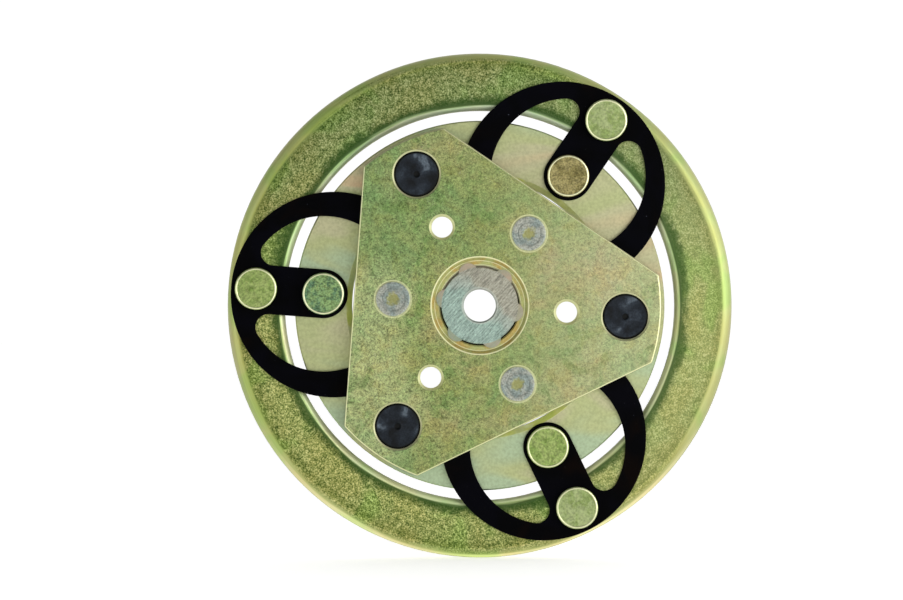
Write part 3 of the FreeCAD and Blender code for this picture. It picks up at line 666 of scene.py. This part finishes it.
def rivet_material(name, light, dark, grain_size, contrast):
    """Chromated rivet: a finely mottled face, with a painted highlight on its rim."""
    s = Surface(name)
    across = s.attribute("from_axis")
    mottle = s.blend(0.35, s.noise(3.0 * MM, 3, 0.55, 0.8), s.noise(1.1 * MM, 3, 0.6, 1.0))
    colour = s.ramp(mottle, [(0.38, dark), (0.60, light)], smooth=True)
    grain = s.grain(grain_size, grain_size * 2.5)
    colour = s.shade(colour, grain, 1 - contrast, 1 + contrast)
    flecks = s.step(s.noise(0.55 * MM, 3, 0.65, 1.5), 0.62, 0.70)
    colour = s.mix(s.times(flecks, 0.5), colour, srgb(206, 200, 128))
    lines = turned_lines(s, s.from_shaft()[0], TURNING_FEED)
    faced = s.ramp(
        lines, [(0.32, srgb(128, 132, 98)), (0.5, srgb(162, 164, 122)), (0.68, srgb(192, 192, 152))]
    )
    colour = s.mix(s.times(s.behind(), 0.7), colour, faced)
    # painted highlight on the rim
    rim = s.band(across, 4.50 * MM, 4.80 * MM, EDGE_SOFT)
    colour = s.mix(s.times(rim, 0.85), colour, srgb(240, 240, 196))
    roughness = s.blend(rim, s.blend(grain, 0.56, 0.38), 0.36)
    return s.finish(colour, roughness, s.bump(grain, 0.02 * MM), Metallic=0.88)


def hub_rivet_material():
    """Bare steel rivet end: grey-green speckle, a struck ring, and a plated spot in the middle."""
    s = Surface("struck_steel")
    across = s.attribute("from_axis")
    mottle = s.noise(2.2 * MM, 2, 0.5)
    colour = s.ramp(mottle, [(0.36, srgb(142, 154, 148)), (0.62, srgb(168, 170, 158))], smooth=True)
    grain = s.grain(0.42 * MM, 1.0 * MM)
    colour = s.shade(colour, grain, 0.66, 1.30)
    ring = s.band(across, 2.45 * MM, 3.0 * MM, 0.3 * MM)
    colour = s.mix(s.times(ring, 0.30), colour, srgb(104, 112, 108))
    ragged = s.plus(across, s.times(s.noise(0.9 * MM), 2.4 * MM))
    spot = s.step(ragged, 3.1 * MM, 2.1 * MM)
    colour = s.mix(s.times(spot, 0.75), colour, srgb(156, 154, 78))
    # painted highlight round the rivet's edge
    rim = s.step(across, 3.96 * MM, 4.06 * MM)
    colour = s.mix(s.times(rim, 0.7), colour, srgb(214, 218, 158))
    roughness = s.blend(grain, 0.56, 0.40)
    return s.finish(colour, roughness, s.bump(grain, 0.02 * MM), Metallic=0.88)


def hub_material():
    """Ground steel: slanting wheel marks on the nose, grey-green and rose tempering, turned flanks."""
    s = Surface("ground_steel")
    across, _ = s.from_shaft()
    slant = math.radians(47)
    along = s.plus(s.times(s.x, math.cos(slant)), s.times(s.z, math.sin(slant)))
    beside = s.maths("SUBTRACT", s.times(s.z, math.cos(slant)), s.times(s.x, math.sin(slant)))
    strokes = s.join(s.maths("DIVIDE", along, 3.2 * MM), s.maths("DIVIDE", beside, 0.38 * MM), 0.0)
    marks = s.noise(1.0, 3, 0.6, where=strokes)
    drift = s.plus(s.times(s.noise(6 * MM, 2, 0.5), 12 * MM), s.plus(s.x, s.z))
    temper = s.ramp(
        s.maths("DIVIDE", s.plus(drift, 4 * MM), 22 * MM),
        [(0.32, srgb(158, 180, 168)), (0.50, srgb(162, 172, 160)), (0.66, srgb(168, 166, 150))],
        smooth=True,
    )
    face = s.shade(temper, marks, 0.62, 1.32, 0.16)
    face = s.shade(face, s.grain(0.45 * MM, 1.4 * MM), 0.82, 1.18)
    petals = s.band(across, 9.1 * MM, 10.6 * MM, EDGE_SOFT)
    petal_colour = s.ramp(s.noise(6 * MM, 4, 0.6), [(0.38, srgb(152, 162, 136)), (0.62, srgb(190, 166, 144))])
    face = s.mix(s.times(petals, 0.85), face, petal_colour)

    lines = turned_lines(s, s.y, 0.3 * MM)
    flank = s.ramp(
        lines, [(0.34, srgb(112, 116, 116)), (0.5, srgb(150, 153, 150)), (0.66, srgb(182, 184, 178))]
    )
    film = s.step(s.noise(7 * MM, 3, 0.6), 0.5, 0.72)
    flank = s.mix(s.times(film, 0.7), flank, srgb(120, 110, 92))
    front = s.step(s.y, -7.6 * MM, -8.4 * MM)
    colour = s.mix(front, flank, face)

    # the painted shadow in the gap round the nose, darker below than above, and the painted highlight on the
    # bolt hole's chamfer
    painted_nose_shadow = s.times(s.band(across, 9.02 * MM, 9.5 * MM, 0.02 * MM), s.step(s.y, -9.05 * MM, -8.95 * MM))
    painted_nose_shadow = s.times(painted_nose_shadow, s.blend(s.step(s.z, 1 * MM, 5 * MM), 0.96, 0.45))
    colour = s.mix(painted_nose_shadow, colour, srgb(10, 10, 6))
    colour = s.mix(s.times(s.step(across, 4.5 * MM, 4.2 * MM), 0.6), colour, srgb(206, 210, 200))
    height = s.blend(front, lines, marks)
    roughness = s.blend(height, 0.36, 0.5)
    return s.finish(colour, roughness, s.bump(height, 0.02 * MM), Metallic=0.92)


# ---------------------------------------------------------------- black surfaces


def spring_material():
    """Blackened spring steel: near black, faintly blue and brown, with a few dust specks."""
    s = Surface("black_oxide")
    colour = s.ramp(
        s.noise(12 * MM, 2, 0.5, 0.5),
        [
            (0.38, (0.0012, 0.0012, 0.0026, 1.0)),
            (0.55, (0.0008, 0.0008, 0.0012, 1.0)),
            (0.68, (0.0028, 0.0014, 0.0010, 1.0)),
        ],
        smooth=True,
    )
    fine = s.noise(0.35 * MM, 3, 0.65)
    specks = s.step(s.noise(0.55 * MM, 1, 0.5), 0.76, 0.84)
    colour = s.mix(specks, colour, (0.06, 0.065, 0.085, 1.0))
    roughness = s.blend(fine, 0.60, 0.36)
    return s.finish(colour, roughness, s.bump(fine, 0.012 * MM), Specular_IOR_Level=0.022)


def rubber_material():
    """Moulded rubber: blue-black with soft grey patches of painted sheen, painted shadow in the gap round it
    and in its crater, finely pitted.
    """
    s = Surface("moulded_rubber")
    across = s.attribute("from_axis")
    # painted sheen: the lighter grey patches
    painted_sheen = s.noise(4.5 * MM, 2, 0.45, 0.4)
    colour = s.ramp(
        painted_sheen,
        [
            (0.34, srgb(12, 15, 18)),
            (0.48, srgb(24, 30, 37)),
            (0.58, srgb(38, 45, 53)),
            (0.68, srgb(84, 94, 103)),
        ],
        smooth=True,
    )
    pits = s.noise(0.45 * MM, 3, 0.65)
    colour = s.shade(colour, pits, 0.6, 1.5, 0.2)
    # painted shadow: black in the gap round the stop's edge and in the sprue's crater
    gap = s.most(s.step(across, 4.75 * MM, 5.05 * MM), s.step(across, 0.85 * MM, 0.6 * MM))
    colour = s.mix(gap, colour, srgb(4, 6, 5))
    roughness = s.blend(painted_sheen, 0.66, 0.40)
    relief = s.bump(s.blend(0.5, pits, painted_sheen), 0.06 * MM)
    return s.finish(colour, roughness, relief, Specular_IOR_Level=0.16)


# ---------------------------------------------------------------- springs


def cut_circle(centre, radius, flat, corner):
    """The +V half of a circle on the U axis that is cut off straight at U = flat, with rounded corners.

    It gives the direction, seen from the circle's centre, in which the circle's own arc ends, and the arc of
    the corner that follows.
    """
    rise = math.sqrt((radius - corner) ** 2 - (centre - flat - corner) ** 2)
    turn = math.atan2(rise, flat + corner - centre)
    return turn, arc((flat + corner, rise), corner, turn, math.pi, 8)


def mirrored(points):
    """The same points on the other side of the U axis, in reverse order."""
    return [(u, -v) for u, v in reversed(points)]


def loop_outline():
    """The loop's outside."""
    turn, corner = cut_circle(**LOOP)
    half = arc((LOOP["centre"], 0.0), LOOP["radius"], 0.0, turn, 48)[:-1] + corner
    return half + mirrored(half)[:-1]


def window_outline(tongue_centre):
    """The opening inside the loop, with the tongue left standing in it."""
    turn, corner = cut_circle(**WINDOW)
    centre = WINDOW["centre"]
    radius = WINDOW["radius"]
    height = TONGUE_HALF + TONGUE_FILLET
    reach = math.sqrt((radius - TONGUE_FILLET) ** 2 - height**2)
    slope = math.atan2(height, reach)
    tip = arc((tongue_centre, 0.0), TONGUE_HALF, math.pi, math.pi / 2, 16)
    root = arc((centre + reach, height), TONGUE_FILLET, -math.pi / 2, slope, 10)
    side = arc((centre, 0.0), radius, slope, turn, 40)[1:-1]
    half = tip + root + side + corner
    return half + mirrored(half)[:-1]


def circle_outline(centre, radius):
    return arc((centre, 0.0), radius, 0.0, TURN, 40)[:-1]


def flat_leaf(name, outlines):
    """A plate of the leaf's thickness with rounded edges; its outlines after the first are holes."""
    sketch = bpy.data.curves.new(name, "CURVE")
    sketch.dimensions = "2D"
    sketch.fill_mode = "BOTH"
    sketch.extrude = LEAF / 2 - LEAF_EDGE
    sketch.bevel_depth = LEAF_EDGE
    sketch.bevel_resolution = 2
    sketch.offset = -LEAF_EDGE
    for outline in outlines:
        line = sketch.splines.new("POLY")
        line.points.add(len(outline) - 1)
        for point, (u, v) in zip(line.points, outline):
            point.co = (u, v, 0.0, 1.0)
        line.use_cyclic_u = True
    drawn = bpy.data.objects.new(name, sketch)
    bpy.context.scene.collection.objects.link(drawn)
    bpy.context.view_layer.update()
    mesh = bpy.data.meshes.new_from_object(drawn.evaluated_get(bpy.context.evaluated_depsgraph_get()))
    bpy.data.objects.remove(drawn)
    mesh.name = name
    return mesh


def lift(u, v, rise):
    """How far the bent leaf stands above its flat far side, along two equal arcs."""
    on_tongue = u > FLEX_START and abs(v) < TONGUE_HALF + TONGUE_FILLET
    if on_tongue or u >= BEND_START:
        return 0.0
    if u <= BEND_END:
        return rise
    radius = ((BEND_START - BEND_END) ** 2 + rise**2) / (4 * rise)
    middle = (BEND_START + BEND_END) / 2
    if u > middle:
        return radius - math.sqrt(radius**2 - (BEND_START - u) ** 2)
    return rise - radius + math.sqrt(radius**2 - (u - BEND_END) ** 2)


def spring_place(u, v, level, direction):
    """Where a spring's own U, V and level are in the frame, for a spring in that direction from the shaft."""
    cosine = math.cos(direction)
    sine = math.sin(direction)
    return Vector((u * cosine - v * sine, -level, u * sine + v * cosine))


def bend(mesh, direction, back, rise):
    """Cuts a flat leaf finely, bends it up by a rise, and puts it in its place with its back at a level."""
    shape = bmesh.new()
    shape.from_mesh(mesh)
    bmesh.ops.remove_doubles(shape, verts=shape.verts, dist=0.002 * MM)
    near = BEND_END - BEND_MARGIN
    far = BEND_START + BEND_MARGIN
    for n in range(BEND_CUTS + 1):
        cut = Vector((near + (far - near) * n / BEND_CUTS, 0.0, 0.0))
        geometry = shape.verts[:] + shape.edges[:] + shape.faces[:]
        bmesh.ops.bisect_plane(shape, geom=geometry, plane_co=cut, plane_no=(1, 0, 0), dist=1e-6)
    for vert in shape.verts:
        u, v, height = vert.co
        vert.co = spring_place(u, v, back + LEAF / 2 + height + lift(u, v, rise), direction)
    bmesh.ops.recalc_face_normals(shape, faces=shape.faces)
    shape.to_mesh(mesh)
    shape.free()


def make_spring(number, material):
    """A flat spring, bent up where its arms leave the bar, in place of the CAD node."""
    node = f"spring_{number}"
    low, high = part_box(node)
    back = -high.y
    front = -low.y
    inner, outer, bar = (size_of(f"{which}_rivet_{number}")[0] for which in ("inner", "outer", "hub"))
    direction = math.atan2(outer[1], outer[0])
    outlines = [
        loop_outline(),
        window_outline(math.hypot(*inner)),
        circle_outline(math.hypot(*inner), SHANK),
        circle_outline(math.hypot(*outer), SHANK),
        circle_outline(math.hypot(*bar), BAR_HOLE),
    ]
    mesh = flat_leaf(f"leaf_{number}", outlines)
    bend(mesh, direction, back, front - back - LEAF)
    smooth_shading(mesh, 50.0)
    leaf = make_object(f"spring_leaf_{number}", mesh, material)
    keep_flats_flat(leaf)
    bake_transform(leaf)
    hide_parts(node)


# ---------------------------------------------------------------- rivets and stops


def make_armature_rivet(node, material):
    """A flat-headed rivet with a rolled rim, whose tail fills the countersink behind."""
    axis, radius, back, front = size_of(node)
    ring_top = -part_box("outer_ring")[0].y
    under_head = ring_top + LEAF
    tail = RIVET_TAIL - back * RIVET_TAIL_SLOPE
    profile = rounded(
        [
            (0.0, back + 0.10 * MM, 0),
            (tail - 0.9 * MM, back + 0.06 * MM, 0),
            (tail - 0.5 * MM, back, 0.3 * MM),
            (tail, back + 0.05 * MM, 0.04 * MM),
            (SHANK, RIVET_TAIL_DEPTH, 0),
            (SHANK, under_head, 0),
            (radius - 0.05 * MM, under_head, 0.04 * MM),
            (radius, front - 0.10 * MM, 0.30 * MM),
            (radius - 0.42 * MM, front, 0.20 * MM),
            (radius - 0.58 * MM, front - 0.07 * MM, 0.10 * MM),
            (radius * 0.5, front - 0.03 * MM, 0),
            (0.0, front - 0.02 * MM, 0),
        ]
    )
    rivet = make_object(node + "_headed", turned(node, profile, axis, wobble=0.006), material)
    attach(rivet, ARMATURE)
    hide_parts(node)


def make_hub_rivet(node, material):
    """A rivet struck flush in the plate, with the punch's ring round its middle."""
    axis, radius, back, front = size_of(node)
    plate_back = -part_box("hub_plate")[1].y
    plate_front = -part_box("hub_plate")[0].y
    bar_back = plate_back - LEAF
    seat = plate_front - HUB_TAIL_DEPTH
    profile = rounded(
        [
            (0.0, back, 0),
            (radius, back, 0.45 * MM),
            (radius, bar_back, 0.06 * MM),
            (HUB_SHANK, bar_back, 0),
            (HUB_SHANK, seat, 0),
            (HUB_TAIL, seat, 0),
            (HUB_TAIL, front - 0.04 * MM, 0.20 * MM),
            (3.55 * MM, front, 0.4 * MM),
            (2.95 * MM, front - 0.02 * MM, 0.2 * MM),
            (2.70 * MM, front - 0.06 * MM, 0.2 * MM),
            (2.35 * MM, front - 0.02 * MM, 0.2 * MM),
            (1.40 * MM, front - 0.02 * MM, 0.3 * MM),
            (1.00 * MM, front - 0.07 * MM, 0.3 * MM),
            (0.0, front - 0.06 * MM, 0),
        ]
    )
    rivet = make_object(node + "_struck", turned(node, profile, axis, wobble=0.004), material)
    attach(rivet, HUB)
    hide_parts(node)


def make_stop(node, material):
    """A moulded stop: flanged behind the plate, soft-edged in front, with the sprue's small crater."""
    axis, radius, back, front = size_of(node)
    plate_back = -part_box("hub_plate")[1].y
    profile = rounded(
        [
            (0.0, back, 0),
            (radius, back, 0.55 * MM),
            (radius, plate_back, 0.15 * MM),
            (STOP_RADIUS, plate_back, 0),
            (STOP_RADIUS, front - 0.45 * MM, 0.10 * MM),
            (STOP_RADIUS - 0.40 * MM, front - 0.06 * MM, 0.35 * MM),
            (3.2 * MM, front - 0.12 * MM, 2.0 * MM),
            (1.30 * MM, front - 0.10 * MM, 0.3 * MM),
            (0.90 * MM, front, 0.14 * MM),
            (0.55 * MM, front - 0.38 * MM, 0.12 * MM),
            (0.0, front - 0.45 * MM, 0),
        ]
    )
    stop = make_object(node + "_moulded", turned(node, profile, axis), material)
    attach(stop, HUB)
    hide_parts(node)


# ---------------------------------------------------------------- studio


def make_camera():
    """The photographer's place: square on, a little left of the shaft."""
    camera = bpy.data.cameras.new("camera")
    camera.lens = CAMERA_LENS
    camera.sensor_width = CAMERA_SENSOR
    camera.clip_start = 0.05
    camera.clip_end = 50.0
    seen = bpy.data.objects.new("camera", camera)
    seen.location = CAMERA_PLACE
    seen.rotation_euler = (math.pi / 2, 0.0, 0.0)
    bpy.context.scene.collection.objects.link(seen)
    bpy.context.scene.camera = seen


def make_floor():
    """A wide white table that glows a little, so that it stays white into the distance."""
    mesh = bpy.data.meshes.new("floor")
    level = cad_box[0].z
    corners = [(x * FLOOR_HALF, y * FLOOR_HALF, level) for x, y in ((-1, -1), (1, -1), (1, 1), (-1, 1))]
    mesh.from_pydata(corners, [], [(0, 1, 2, 3)])
    s = Surface("white_table")
    cast = s.ramp(s.noise(0.4, 2), [(0.4, (0.86, 0.86, 0.85, 1.0)), (0.6, (0.90, 0.90, 0.89, 1.0))])
    s.finish(cast, 0.7, Specular_IOR_Level=0.2, Emission_Color=WHITE, Emission_Strength=FLOOR_GLOW)
    make_object("floor", mesh, s.material)


def make_backdrop():
    """A white dome that only the camera sees, so that every view has a plain background."""
    profile = arc((0.0, 0.0), DOME_RADIUS, -TURN / 4, TURN / 4, DOME_STEPS)
    profile[0] = (0.0, -DOME_RADIUS)
    profile[-1] = (0.0, DOME_RADIUS)
    s = Surface("white_backdrop")
    cast = s.ramp(s.noise(1.0, 2), [(0.4, (0.04, 0.04, 0.04, 1.0)), (0.6, (0.06, 0.06, 0.06, 1.0))])
    s.finish(cast, 1.0, Specular_IOR_Level=0.0, Emission_Color=WHITE, Emission_Strength=1.0)
    dome = make_object("backdrop", turned("backdrop", profile, (0.0, 0.0), steps=2 * DOME_STEPS), s.material)
    dome.visible_diffuse = False
    dome.visible_glossy = False
    dome.visible_transmission = False
    dome.visible_shadow = False


def make_world():
    """A white room: brighter low, behind the object and to its right, dimmer in front and overhead."""
    world = bpy.data.worlds.new("studio")
    world.use_nodes = True
    tree = world.node_tree
    towards = tree.nodes.new("ShaderNodeTexCoord").outputs["Generated"]
    weigh = tree.nodes.new("ShaderNodeVectorMath")
    weigh.operation = "DOT_PRODUCT"
    tree.links.new(towards, weigh.inputs[0])
    weigh.inputs[1].default_value = ROOM_SLOPE
    level = tree.nodes.new("ShaderNodeMath")
    level.inputs[1].default_value = ROOM_LEVEL
    tree.links.new(weigh.outputs["Value"], level.inputs[0])
    tree.links.new(level.outputs[0], tree.nodes["Background"].inputs["Strength"])
    tree.nodes["Background"].inputs["Color"].default_value = WHITE
    bpy.context.scene.world = world


def make_light(name, place, size, power):
    """A soft white square light that points at the shaft."""
    light = bpy.data.lights.new(name, "AREA")
    light.size = size
    light.energy = power
    lamp = bpy.data.objects.new(name, light)
    lamp.location = place
    lamp.rotation_euler = (-Vector(place)).to_track_quat("-Z", "Y").to_euler()
    bpy.context.scene.collection.objects.link(lamp)


def make_studio():
    """Camera, floor, room and lights."""
    bpy.context.scene.view_settings.view_transform = "Standard"
    make_camera()
    make_floor()
    make_backdrop()
    make_world()
    for name, place, size, power in LIGHTS:
        make_light(name, place, size, power)


# ---------------------------------------------------------------- assembly


def dress_cad_nodes():
    """Materials for the CAD nodes that stay."""
    for node, material in (
        ("outer_ring", outer_ring_material()),
        ("inner_ring", inner_ring_material()),
        ("hub_plate", hub_plate_material()),
        ("hub", hub_material()),
    ):
        for holder in frame["nodes"][node].material_slots:
            holder.material = material


def main():
    make_studio()
    dress_cad_nodes()
    black = spring_material()
    steel = hub_rivet_material()
    rubber = rubber_material()
    green = rivet_material("rivet_green", srgb(164, 176, 124), srgb(136, 154, 92), 0.45 * MM, 0.22)
    teal = rivet_material("rivet_teal", srgb(134, 162, 106), srgb(84, 118, 92), 0.42 * MM, 0.48)
    tan = rivet_material("rivet_tan", srgb(156, 146, 98), srgb(120, 112, 68), 0.42 * MM, 0.44)
    olive = rivet_material("rivet_olive", srgb(158, 174, 106), srgb(126, 150, 78), 0.45 * MM, 0.32)
    finishes = {"inner_rivet_1": tan, "inner_rivet_2": teal, "inner_rivet_3": olive, "outer_rivet_2": olive}
    for number in range(1, COPIES + 1):
        make_spring(number, black)
        for node in (f"outer_rivet_{number}", f"inner_rivet_{number}"):
            make_armature_rivet(node, finishes.get(node, green))
        make_hub_rivet(f"hub_rivet_{number}", steel)
        make_stop(f"rubber_stop_{number}", rubber)


main()
